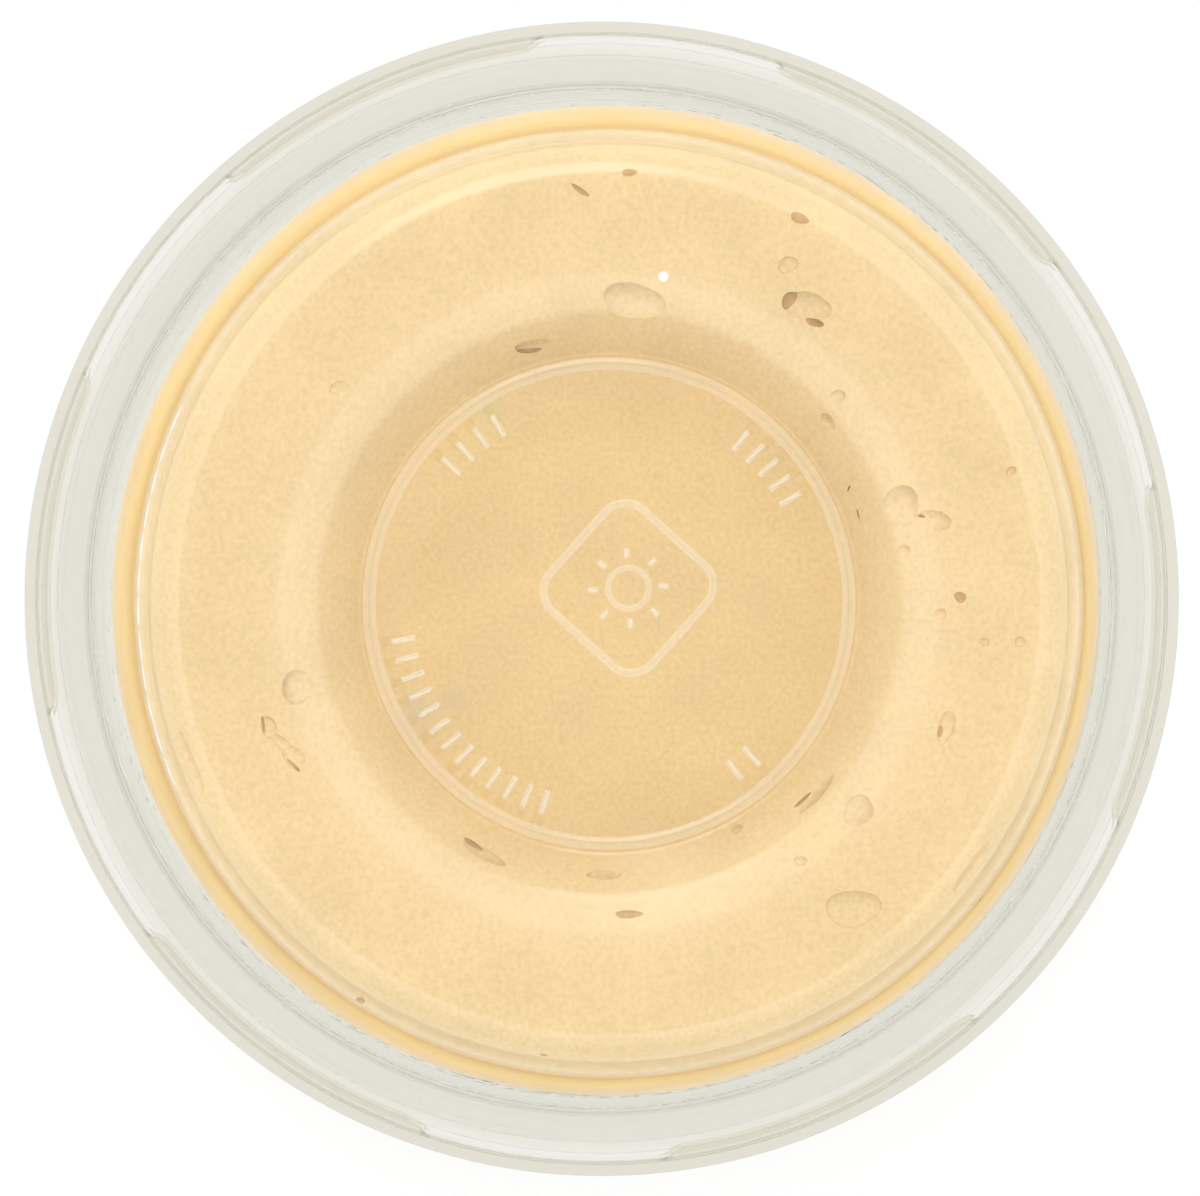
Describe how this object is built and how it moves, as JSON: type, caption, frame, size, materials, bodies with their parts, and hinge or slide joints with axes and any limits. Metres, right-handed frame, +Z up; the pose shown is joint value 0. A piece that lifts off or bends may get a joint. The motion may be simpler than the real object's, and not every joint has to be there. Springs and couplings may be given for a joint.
{
  "type": "tub of hummus",
  "caption": "Round clear plastic tub full of hummus, sealed with film and closed by a clear push-on lid, standing on its lid with the base up.",
  "frame": {"origin": "on the floor, at the middle of the lid's face, which the upside-down tub stands on", "axes": "+Z up along the tub's axis, from the lid to the tub's base; +X to the right and +Y away from a viewer in front"},
  "size_m": [0.118, 0.118, 0.048],
  "materials": {
    "tub_plastic": "clear thin thermoformed sheet, glossy",
    "hummus": "smooth moist chickpea puree, pressed against the clear tub, with a few pockets of air",
    "film": "clear heat-sealed film, slightly wrinkled",
    "lid_plastic": "clear thin thermoformed sheet, glossy"
  },
  "bodies": {
    "root": {"tub": "tub_plastic", "hummus": "hummus", "seal_film": "film", "lid": "lid_plastic"}
  },
  "joints": []
}
